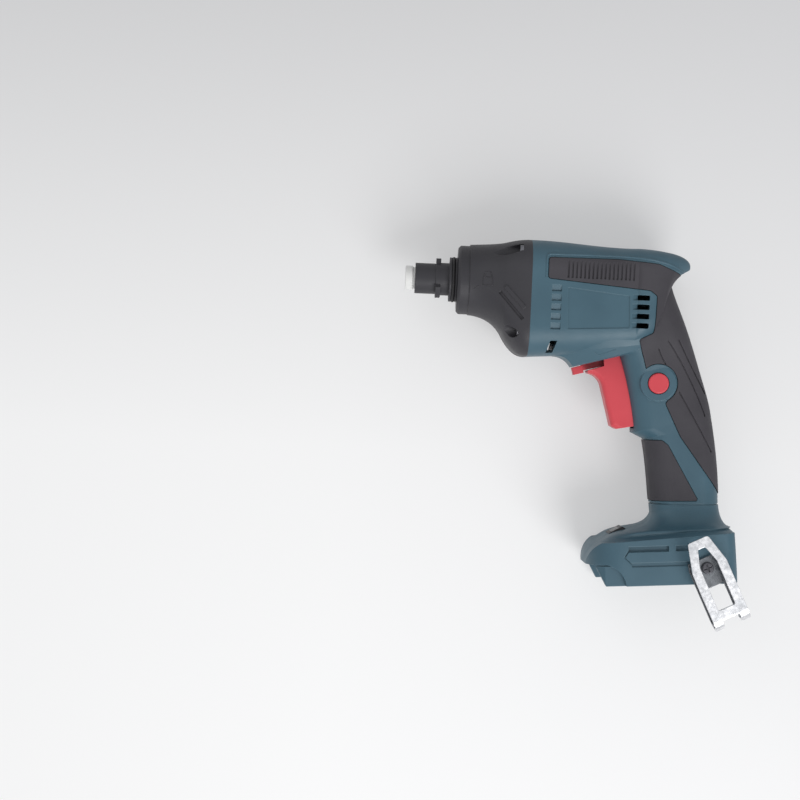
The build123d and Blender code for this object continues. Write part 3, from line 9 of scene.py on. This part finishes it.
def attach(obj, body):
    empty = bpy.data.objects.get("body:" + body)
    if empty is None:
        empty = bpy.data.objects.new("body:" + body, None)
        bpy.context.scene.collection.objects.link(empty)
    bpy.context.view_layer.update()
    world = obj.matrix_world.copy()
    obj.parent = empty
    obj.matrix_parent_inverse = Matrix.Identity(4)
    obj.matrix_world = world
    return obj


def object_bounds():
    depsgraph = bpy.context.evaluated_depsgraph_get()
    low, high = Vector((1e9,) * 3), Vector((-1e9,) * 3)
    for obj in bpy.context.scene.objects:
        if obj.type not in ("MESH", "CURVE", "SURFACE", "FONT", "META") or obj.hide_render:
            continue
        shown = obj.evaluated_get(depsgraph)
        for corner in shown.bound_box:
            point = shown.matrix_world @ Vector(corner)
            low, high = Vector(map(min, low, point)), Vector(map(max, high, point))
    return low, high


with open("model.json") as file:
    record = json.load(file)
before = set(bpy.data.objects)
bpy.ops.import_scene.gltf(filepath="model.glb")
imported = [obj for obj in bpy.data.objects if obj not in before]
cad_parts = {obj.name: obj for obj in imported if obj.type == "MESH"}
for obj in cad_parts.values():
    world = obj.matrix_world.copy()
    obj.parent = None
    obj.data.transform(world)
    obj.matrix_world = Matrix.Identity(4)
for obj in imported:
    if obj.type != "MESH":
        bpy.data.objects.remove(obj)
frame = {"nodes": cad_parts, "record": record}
nodes = frame["nodes"]
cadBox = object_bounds()
print("frame loaded,", len(nodes), "nodes")


def screenColour(red, green, blue):  # colour as seen on screen, 0 to 255, to linear light
    linear = []
    for level in (red, green, blue):
        share = level / 255
        linear.append(((share + 0.055) / 1.055) ** 2.4 if share > 0.04 else share / 12.92)
    return (*linear, 1.0)


def startFinish(name, roughness, metallic=0.0, specular=0.5):
    finish = bpy.data.materials.new(name)
    finish.use_nodes = True
    tree = finish.node_tree
    shader = tree.nodes["Principled BSDF"]
    shader.inputs["Roughness"].default_value = roughness
    shader.inputs["Metallic"].default_value = metallic
    shader.inputs["Specular IOR Level"].default_value = specular
    return finish, tree, shader


def objectPoint(tree, stretch=(1, 1, 1)):  # object coordinates, stretched along the axes
    coords = tree.nodes.new("ShaderNodeTexCoord")
    mapping = tree.nodes.new("ShaderNodeMapping")
    mapping.inputs["Scale"].default_value = stretch
    tree.links.new(coords.outputs["Object"], mapping.inputs["Vector"])
    return mapping.outputs["Vector"]


def noiseAt(tree, point, scale, detail=3.0, roughness=0.5):
    noise = tree.nodes.new("ShaderNodeTexNoise")
    noise.inputs["Scale"].default_value = scale
    noise.inputs["Detail"].default_value = detail
    noise.inputs["Roughness"].default_value = roughness
    tree.links.new(point, noise.inputs["Vector"])
    return noise.outputs["Fac"]


def remap(tree, value, low, high, toLow, toHigh):
    mapRange = tree.nodes.new("ShaderNodeMapRange")
    for name, number in zip(("From Min", "From Max", "To Min", "To Max"), (low, high, toLow, toHigh)):
        mapRange.inputs[name].default_value = number
    tree.links.new(value, mapRange.inputs["Value"])
    return mapRange.outputs["Result"]


mixSockets = {"first": 6, "second": 7, "result": 2}  # the colour sockets of a Mix node, which share their names


def mixColour(tree, factor, first, second):
    mix = tree.nodes.new("ShaderNodeMix")
    mix.data_type = "RGBA"
    tree.links.new(factor, mix.inputs["Factor"])
    ends = ((mix.inputs[mixSockets["first"]], first), (mix.inputs[mixSockets["second"]], second))
    for socket, colour in ends:
        if hasattr(colour, "default_value"):
            tree.links.new(colour, socket)
        else:
            socket.default_value = colour
    return mix.outputs[mixSockets["result"]]


edgeSamples = 6


def roundedNormal(tree, radius):  # softens the hard edges of the solids
    bevel = tree.nodes.new("ShaderNodeBevel")
    bevel.samples = edgeSamples
    bevel.inputs["Radius"].default_value = radius
    return bevel.outputs["Normal"]


def edgeMask(tree, normal, spread):  # 1 along edges, 0 on open faces
    geometry = tree.nodes.new("ShaderNodeNewGeometry")
    dot = tree.nodes.new("ShaderNodeVectorMath")
    dot.operation = "DOT_PRODUCT"
    tree.links.new(geometry.outputs["Normal"], dot.inputs[0])
    tree.links.new(normal, dot.inputs[1])
    return remap(tree, dot.outputs["Value"], 1.0, 1.0 - spread, 0.0, 1.0)


def bumpFrom(tree, height, distance, strength, normal=None):
    bump = tree.nodes.new("ShaderNodeBump")
    bump.inputs["Distance"].default_value = distance
    bump.inputs["Strength"].default_value = strength
    tree.links.new(height, bump.inputs["Height"])
    if normal is not None:
        tree.links.new(normal, bump.inputs["Normal"])
    return bump.outputs["Normal"]


plasticTexture = {
    "toneScale": 22.0, "toneLow": 0.35, "toneHigh": 0.65, "edgeSpread": 0.35,
    "rubScale": 60.0, "rubLow": 0.3, "rubHigh": 0.7, "rubSwing": 0.07, "grainStrength": 0.6,
}


def mouldedPlastic(name, look):  # spark-eroded mould texture, soft edges, and edges painted lighter: partly wear, partly a painted highlight
    finish, tree, shader = startFinish(name, look["roughness"], specular=look["specular"])
    point = objectPoint(tree)
    soft = roundedNormal(tree, look["edge"])
    tone = noiseAt(tree, point, plasticTexture["toneScale"], detail=4.0)
    broad = remap(tree, tone, plasticTexture["toneLow"], plasticTexture["toneHigh"], 0.0, 1.0)
    body = mixColour(tree, broad, look["dark"], look["light"])
    # edges painted lighter: partly wear, partly a painted highlight along the rounded edges
    wornAndLitEdges = edgeMask(tree, soft, plasticTexture["edgeSpread"])
    edgeLightening = tree.nodes.new("ShaderNodeMath")
    edgeLightening.operation = "MULTIPLY"
    edgeLightening.inputs[1].default_value = look["edgeWearAndHighlight"]
    tree.links.new(wornAndLitEdges, edgeLightening.inputs[0])
    colour = mixColour(tree, edgeLightening.outputs[0], body, look["wornLitEdgeColour"])
    tree.links.new(colour, shader.inputs["Base Color"])
    rub = noiseAt(tree, point, plasticTexture["rubScale"], detail=5.0, roughness=0.6)
    smooth = look["roughness"] - plasticTexture["rubSwing"]
    rough = look["roughness"] + plasticTexture["rubSwing"]
    sheen = remap(tree, rub, plasticTexture["rubLow"], plasticTexture["rubHigh"], smooth, rough)
    tree.links.new(sheen, shader.inputs["Roughness"])
    grain = noiseAt(tree, point, look["grain"], detail=2.0, roughness=0.6)
    bumped = bumpFrom(tree, grain, look["grainDepth"], plasticTexture["grainStrength"], soft)
    tree.links.new(bumped, shader.inputs["Normal"])
    return finish


metalTexture = {
    # the last entry is the height over which the painted shade on the hook's lower sheet fades in
    "low": 0.3, "high": 0.7, "smoother": 0.08, "rougher": 0.12, "streakStrength": 0.35, "shadeFade": 0.0015,
}


def metalFinish(name, look):  # brushed or turned metal with fine scratches
    finish, tree, shader = startFinish(name, look["roughness"], metallic=1.0)
    low, high = metalTexture["low"], metalTexture["high"]
    point = objectPoint(tree, look["stretch"])
    streak = noiseAt(tree, point, look["streak"], detail=4.0, roughness=0.6)
    cloud = noiseAt(tree, objectPoint(tree), look["cloud"], detail=4.0)
    body = mixColour(tree, remap(tree, cloud, low, high, 0.0, 1.0), look["dark"], look["light"])
    if "shadedSheet" in look:  # painted shade: the sheet that lies on the foot, below a set height, is coloured darker to stand in for the shade under the hook
        height = tree.nodes.new("ShaderNodeSeparateXYZ")
        tree.links.new(objectPoint(tree), height.inputs[0])
        fadeTop = look["shadeBelow"] + metalTexture["shadeFade"]
        inner = remap(tree, height.outputs["Z"], fadeTop, look["shadeBelow"], 0.0, 1.0)
        body = mixColour(tree, inner, body, look["shadedSheet"])
    tree.links.new(body, shader.inputs["Base Color"])
    smooth = look["roughness"] - metalTexture["smoother"]
    rough = look["roughness"] + metalTexture["rougher"]
    tree.links.new(remap(tree, streak, low, high, smooth, rough), shader.inputs["Roughness"])
    soft = roundedNormal(tree, look["edge"])
    bumped = bumpFrom(tree, streak, look["depth"], metalTexture["streakStrength"], soft)
    tree.links.new(bumped, shader.inputs["Normal"])
    return finish


# In these plastic looks the edge colour and its share paint the edges lighter: partly wear, partly a painted
# highlight.
housingLook = {
    "dark": screenColour(57, 87, 101), "light": screenColour(66, 97, 111),
    "wornLitEdgeColour": screenColour(112, 146, 160), "edgeWearAndHighlight": 0.55, "edge": 0.0007,
    "roughness": 0.46, "specular": 0.45, "grain": 1500.0, "grainDepth": 0.00006,
}
gearCaseLook = {
    "dark": screenColour(41, 40, 45), "light": screenColour(49, 48, 53),
    "wornLitEdgeColour": screenColour(90, 88, 93), "edgeWearAndHighlight": 0.5, "edge": 0.0008,
    "roughness": 0.5, "specular": 0.45, "grain": 1300.0, "grainDepth": 0.00008,
}
rubberLook = {
    "dark": screenColour(58, 56, 61), "light": screenColour(67, 65, 70),
    "wornLitEdgeColour": screenColour(96, 94, 99), "edgeWearAndHighlight": 0.4, "edge": 0.0005,
    "roughness": 0.66, "specular": 0.35, "grain": 1100.0, "grainDepth": 0.00008,
}
redLook = {
    "dark": screenColour(202, 62, 72), "light": screenColour(214, 72, 82),
    "wornLitEdgeColour": screenColour(236, 118, 124), "edgeWearAndHighlight": 0.5, "edge": 0.0006,
    "roughness": 0.4, "specular": 0.5, "grain": 1700.0, "grainDepth": 0.00003,
}
whiteLook = {
    "dark": screenColour(226, 226, 224), "light": screenColour(238, 238, 236),
    "wornLitEdgeColour": screenColour(246, 246, 245), "edgeWearAndHighlight": 0.4, "edge": 0.0005,
    "roughness": 0.42, "specular": 0.5, "grain": 1600.0, "grainDepth": 0.00003,
}
blackLook = {
    "dark": screenColour(34, 33, 36), "light": screenColour(44, 43, 46),
    "wornLitEdgeColour": screenColour(84, 83, 86), "edgeWearAndHighlight": 0.5, "edge": 0.0004,
    "roughness": 0.45, "specular": 0.5, "grain": 1500.0, "grainDepth": 0.00005,
}
sealLook = {
    "dark": screenColour(26, 25, 27), "light": screenColour(36, 35, 37),
    "wornLitEdgeColour": screenColour(60, 58, 60), "edgeWearAndHighlight": 0.3, "edge": 0.0003,
    "roughness": 0.55, "specular": 0.4, "grain": 1200.0, "grainDepth": 0.00004,
}
boardLook = {
    "dark": screenColour(28, 84, 56), "light": screenColour(38, 100, 66),
    "wornLitEdgeColour": screenColour(120, 150, 110), "edgeWearAndHighlight": 0.5, "edge": 0.0002,
    "roughness": 0.4, "specular": 0.5, "grain": 900.0, "grainDepth": 0.00004,
}
hookLook = {
    "dark": screenColour(196, 198, 201), "light": screenColour(240, 240, 242), "roughness": 0.27, "edge": 0.0005,
    "cloud": 150.0, "stretch": (1, 1, 1), "streak": 420.0, "depth": 0.00002,
    # painted shade: a darker colour for the hook's lower sheet, below the given height
    "shadedSheet": screenColour(118, 121, 125), "shadeBelow": 0.0402,
}
steelLook = {
    "dark": screenColour(96, 96, 100), "light": screenColour(122, 122, 127), "roughness": 0.36, "edge": 0.0003,
    "cloud": 45.0, "stretch": (12, 1, 1), "streak": 320.0, "depth": 0.00003,
}
blackSteelLook = {
    "dark": screenColour(70, 70, 74), "light": screenColour(96, 96, 101), "roughness": 0.36, "edge": 0.0003,
    "cloud": 45.0, "stretch": (1, 1, 1), "streak": 600.0, "depth": 0.00003,
}
coreLook = {
    "dark": screenColour(112, 112, 115), "light": screenColour(136, 136, 140), "roughness": 0.42, "edge": 0.0002,
    "cloud": 45.0, "stretch": (30, 1, 1), "streak": 160.0, "depth": 0.00006,
}
copperLook = {
    "dark": screenColour(150, 82, 48), "light": screenColour(186, 108, 66), "roughness": 0.34, "edge": 0.0003,
    "cloud": 45.0, "stretch": (14, 1, 1), "streak": 220.0, "depth": 0.0001,
}
brassLook = {
    "dark": screenColour(176, 146, 84), "light": screenColour(204, 172, 104), "roughness": 0.3, "edge": 0.0002,
    "cloud": 45.0, "stretch": (1, 1, 8), "streak": 500.0, "depth": 0.00003,
}
aluminiumLook = {
    "dark": screenColour(178, 179, 182), "light": screenColour(204, 205, 208), "roughness": 0.42, "edge": 0.0003,
    "cloud": 45.0, "stretch": (1, 1, 1), "streak": 380.0, "depth": 0.00005,
}
lensLook = {
    "dark": screenColour(46, 49, 54), "light": screenColour(64, 68, 74), "roughness": 0.24, "specular": 0.3,
    "clear": 0.4, "bend": 1.49, "ribs": 260.0, "ribDepth": 0.0002, "ribStrength": 0.4,
}


def clearLens(name, look):  # smoky lamp lens with moulded ribs
    finish, tree, shader = startFinish(name, look["roughness"], specular=look["specular"])
    shader.inputs["Transmission Weight"].default_value = look["clear"]
    shader.inputs["IOR"].default_value = look["bend"]
    ribs = tree.nodes.new("ShaderNodeTexWave")
    ribs.inputs["Scale"].default_value = look["ribs"]
    tree.links.new(objectPoint(tree), ribs.inputs["Vector"])
    tree.links.new(mixColour(tree, ribs.outputs["Fac"], look["dark"], look["light"]), shader.inputs["Base Color"])
    bumped = bumpFrom(tree, ribs.outputs["Fac"], look["ribDepth"], look["ribStrength"])
    tree.links.new(bumped, shader.inputs["Normal"])
    return finish


finishes = {
    "housing_plastic": mouldedPlastic("tealHousing", housingLook),
    "gear_case": mouldedPlastic("darkGearCase", gearCaseLook),
    "grip_rubber": mouldedPlastic("gripRubber", rubberLook),
    "red_plastic": mouldedPlastic("redControls", redLook),
    "white_plastic": mouldedPlastic("whiteBush", whiteLook),
    "black_plastic": mouldedPlastic("blackInsert", blackLook),
    "seal_rubber": mouldedPlastic("sealRubber", sealLook),
    "circuit_board": mouldedPlastic("greenBoard", boardLook),
    "bright_steel": metalFinish("stampedHook", hookLook),
    "gear_steel": metalFinish("groundSteel", steelLook),
    "screw_steel": metalFinish("blackScrewSteel", blackSteelLook),
    "core_steel": metalFinish("laminatedCore", coreLook),
    "magnet": metalFinish("platedMagnet", steelLook),
    "copper": metalFinish("woundCopper", copperLook),
    "brass": metalFinish("turnedBrass", brassLook),
    "aluminium": metalFinish("castAluminium", aluminiumLook),
    "lens": clearLens("clearLens", lensLook),
}
for entry in frame["record"]["subparts"]:
    piece = nodes[entry["node"]]
    piece.data.materials.clear()
    piece.data.materials.append(finishes[entry["material_slot"]])

dropHeight = 0.1
millimetres = 1000
routeOrder = 3
beadRoundness = 3


def surfaceOf(nodeName):  # a node's mesh, ready for points to be dropped on it
    mesh = nodes[nodeName].data
    corners = [vertex.co.copy() for vertex in mesh.vertices]
    return BVHTree.FromPolygons(corners, [tuple(face.vertices) for face in mesh.polygons])


def dropPoint(surface, x, y, side):  # point on the left (1) or right (-1) side, straight over x, y
    hit = surface.ray_cast(Vector((x, y, dropHeight * side)), Vector((0, 0, -side)))
    return hit[0]


def smoothLine(points, steps):  # points along a smooth curve through the flat route, given in millimetres
    curve = bpy.data.curves.new("route", "CURVE")
    spline = curve.splines.new("NURBS")
    spline.points.add(len(points) - 1)
    for slot, (x, y) in zip(spline.points, points):
        slot.co = (x / millimetres, y / millimetres, 0, 1)
    spline.order_u = routeOrder
    spline.use_endpoint_u = True
    spline.resolution_u = steps
    holder = bpy.data.objects.new("route", curve)
    mesh = bpy.data.meshes.new_from_object(holder)
    line = [vertex.co.copy() for vertex in mesh.vertices]
    bpy.data.objects.remove(holder)
    bpy.data.curves.remove(curve)
    bpy.data.meshes.remove(mesh)
    return line


def surfaceBead(name, nodeName, plan, side):  # round bead lying on a node's surface, along a flat route
    surface = surfaceOf(nodeName)
    curve = bpy.data.curves.new(name, "CURVE")
    curve.dimensions = "3D"
    curve.bevel_depth = plan["radius"]
    curve.bevel_resolution = beadRoundness
    curve.use_fill_caps = True
    for route in plan["routes"]:
        line = [dropPoint(surface, point.x, point.y, side) for point in smoothLine(route, plan["steps"])]
        line = [point for point in line if point is not None]
        spline = curve.splines.new("POLY")
        spline.points.add(len(line) - 1)
        for slot, point in zip(spline.points, line):
            slot.co = (point.x, point.y, point.z - side * plan["sink"], 1)
    holder = bpy.data.objects.new(name + "Route", curve)
    mesh = bpy.data.meshes.new_from_object(holder)
    mesh.name = name
    bpy.data.objects.remove(holder)
    for face in mesh.polygons:
        face.use_smooth = True
    mesh.materials.clear()
    mesh.materials.append(finishes[plan["slot"]])
    piece = bpy.data.objects.new(name, mesh)
    bpy.context.scene.collection.objects.link(piece)
    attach(piece, "housing")


stripBead = {  # moulded bead over the rubber strip, running on to the tail
    "routes": [[
        (88.2, 2.6), (88.0, 12.0), (88.2, 18.0), (94.0, 18.1), (112.0, 18.4), (137.0, 18.6),
        (152.0, 17.8), (165.0, 16.3), (175.0, 13.6), (182.0, 10.6),
    ]],
    "radius": 0.0009, "sink": 0.0003, "steps": 14, "slot": "housing_plastic",
}
turnArrow = {  # direction mark under the panel
    "routes": [
        [(137.4, -44.0), (131.5, -46.2), (126.5, -48.2)],
        [(126.5, -48.2), (125.2, -47.5), (123.8, -46.4)],
    ],
    "radius": 0.00035, "sink": 0.0001, "steps": 8, "slot": "housing_plastic",
}
lockMark = {  # shackle and body outline of the lock mark, and the pointer beside it
    "routes": [
        [(46.6, 1.0), (46.6, 4.2), (49.2, 4.8), (51.8, 4.2), (51.8, 1.0)],
        [(46.0, 1.0), (49.2, 1.0), (52.4, 1.0)],
        [(46.0, -4.6), (49.2, -4.6), (52.4, -4.6)],
        [(46.0, 1.0), (46.0, -1.8), (46.0, -4.6)],
        [(52.4, 1.0), (52.4, -1.8), (52.4, -4.6)],
        [(40.4, -7.2), (41.6, -5.8), (43.6, -5.2)],
    ],
    "radius": 0.00042, "sink": 0.0001, "steps": 8, "slot": "gear_case",
}
for sideName, side in (("Left", 1), ("Right", -1)):
    shellName = sideName.lower() + "_shell"
    surfaceBead("stripBead" + sideName, shellName, stripBead, side)
    surfaceBead("turnArrow" + sideName, shellName, turnArrow, side)
    surfaceBead("lockMark" + sideName, "gear_housing", lockMark, side)
print("beads and marks laid on the shells")

# painted shade on the floor: the far colour and the side colour to the right stand in for light falling off; the
# glow lightens the object's shadow on it
floorLook = {
    "size": 40.0, "cells": 8, "level": cadBox[0][2] - 0.0002, "glow": 0.4, "roughness": 0.9, "specular": 0.2,
    "far": screenColour(214, 214, 215), "middle": screenColour(250, 250, 250), "near": screenColour(252, 252, 252),
    "farY": 0.24, "middleY": -0.12, "nearY": -0.36,
    "side": screenColour(222, 222, 224), "sideShare": 0.32, "sideFrom": -0.05, "sideTo": 0.3,
}


def seenRays(tree):  # 1 for rays that show the background: camera, glossy and transmission
    path = tree.nodes.new("ShaderNodeLightPath")
    total = path.outputs["Is Camera Ray"]
    for name in ("Is Glossy Ray", "Is Transmission Ray"):
        join = tree.nodes.new("ShaderNodeMath")
        join.operation = "MAXIMUM"
        tree.links.new(total, join.inputs[0])
        tree.links.new(path.outputs[name], join.inputs[1])
        total = join.outputs[0]
    return total


def paperFloor(look):  # pale paper with painted shade, darker away from the camera's foot and to the right, and a glow that lightens the shadow seen on it
    finish, tree, shader = startFinish("paperFloor", look["roughness"], specular=look["specular"])
    place = tree.nodes.new("ShaderNodeSeparateXYZ")
    tree.links.new(objectPoint(tree), place.inputs[0])
    rise = remap(tree, place.outputs["Y"], look["middleY"], look["farY"], 0.0, 1.0)
    fall = remap(tree, place.outputs["Y"], look["middleY"], look["nearY"], 0.0, 1.0)
    colour = mixColour(tree, fall, mixColour(tree, rise, look["middle"], look["far"]), look["near"])
    sideways = remap(tree, place.outputs["X"], look["sideFrom"], look["sideTo"], 0.0, look["sideShare"])
    colour = mixColour(tree, sideways, colour, look["side"])
    tree.links.new(colour, shader.inputs["Base Color"])
    # the floor glows for the rays that see it: painted light that lightens the object's shadow on the floor
    glow = tree.nodes.new("ShaderNodeEmission")
    tree.links.new(colour, glow.inputs["Color"])
    blend = tree.nodes.new("ShaderNodeMixShader")
    tree.links.new(remap(tree, seenRays(tree), 0.0, 1.0, 0.0, look["glow"]), blend.inputs[0])
    tree.links.new(shader.outputs[0], blend.inputs[1])
    tree.links.new(glow.outputs[0], blend.inputs[2])
    tree.links.new(blend.outputs[0], tree.nodes["Material Output"].inputs["Surface"])
    return finish


floorMesh = bmesh.new()
cells = floorLook["cells"]
bmesh.ops.create_grid(floorMesh, x_segments=cells, y_segments=cells, size=floorLook["size"] / 2)
bmesh.ops.translate(floorMesh, vec=(0, 0, floorLook["level"]), verts=floorMesh.verts)
floorData = bpy.data.meshes.new("floor")
floorMesh.to_mesh(floorData)
floorMesh.free()
floorData.materials.append(paperFloor(floorLook))
floor = bpy.data.objects.new("floor", floorData)
bpy.context.scene.collection.objects.link(floor)

lampPlan = [  # name, place, size, power
    ("keyLamp", (0.68, -1.05, 1.15), 1.0, 16.5),
    ("fillLamp", (-0.75, 0.55, 1.2), 1.3, 3.2),
]
lampTarget = Vector((0.11, -0.1, 0.0))
for name, place, size, power in lampPlan:
    lamp = bpy.data.lights.new(name, "AREA")
    lamp.size = size
    lamp.energy = power
    holder = bpy.data.objects.new(name, lamp)
    holder.location = place
    holder.rotation_euler = (lampTarget - Vector(place)).to_track_quat("-Z", "Y").to_euler()
    bpy.context.scene.collection.objects.link(holder)

skyLook = {"colour": (0.97, 0.98, 1.0, 1.0), "lighting": 0.46, "seen": 0.8}
world = bpy.data.worlds.new("studio")
world.use_nodes = True
skyTree = world.node_tree
sky = skyTree.nodes["Background"]
sky.inputs["Color"].default_value = skyLook["colour"]
skyStrength = remap(skyTree, seenRays(skyTree), 0.0, 1.0, skyLook["lighting"], skyLook["seen"])
skyTree.links.new(skyStrength, sky.inputs["Strength"])
bpy.context.scene.world = world
bpy.context.scene.view_settings.view_transform = "Standard"

cameraPlan = {"place": (-0.00653, -0.08461, 1.2), "roll": 2.6, "lens": 78.26, "sensor": 36.0}
camera = bpy.data.objects.new("photoCamera", bpy.data.cameras.new("photoCamera"))
camera.location = cameraPlan["place"]
camera.rotation_euler = (0, 0, math.radians(cameraPlan["roll"]))
camera.data.lens = cameraPlan["lens"]
camera.data.sensor_width = cameraPlan["sensor"]
bpy.context.scene.collection.objects.link(camera)
bpy.context.scene.camera = camera
print("stage ready")
